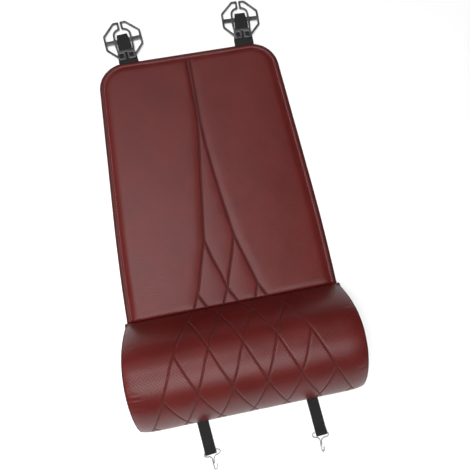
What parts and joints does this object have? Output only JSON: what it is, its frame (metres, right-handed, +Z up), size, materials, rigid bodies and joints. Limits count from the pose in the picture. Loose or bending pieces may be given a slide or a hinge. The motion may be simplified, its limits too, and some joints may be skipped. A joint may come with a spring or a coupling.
{
  "type": "car seat cushion",
  "caption": "Thin padded car seat panel with a filled leg roll sewn to its front, elastic straps with anchor plates at the back and webbing with wire hooks in front.",
  "frame": {"origin": "middle of the footprint, on the surface that the cushion rests on", "axes": "+X across the width, +Y from the leg roll to the anchor plates, +Z up out of the seat face"},
  "size_m": [0.48, 1.0666, 0.118],
  "materials": {
    "wine_leather": "semi-matt perforated leatherette",
    "black_elastic": "woven elastic",
    "black_webbing": "woven webbing",
    "black_plastic": "moulded, fine satin",
    "bright_nickel": "bright plated wire"
  },
  "bodies": {
    "root": {"seat_panel": "wine_leather", "leg_roll": "wine_leather", "anchor_strap_left": "black_elastic", "anchor_strap_right": "black_elastic", "anchor_plate_left": "black_plastic", "anchor_plate_right": "black_plastic", "hook_strap_left": "black_webbing", "hook_strap_right": "black_webbing", "hook_left": "bright_nickel", "hook_right": "bright_nickel"}
  },
  "joints": []
}
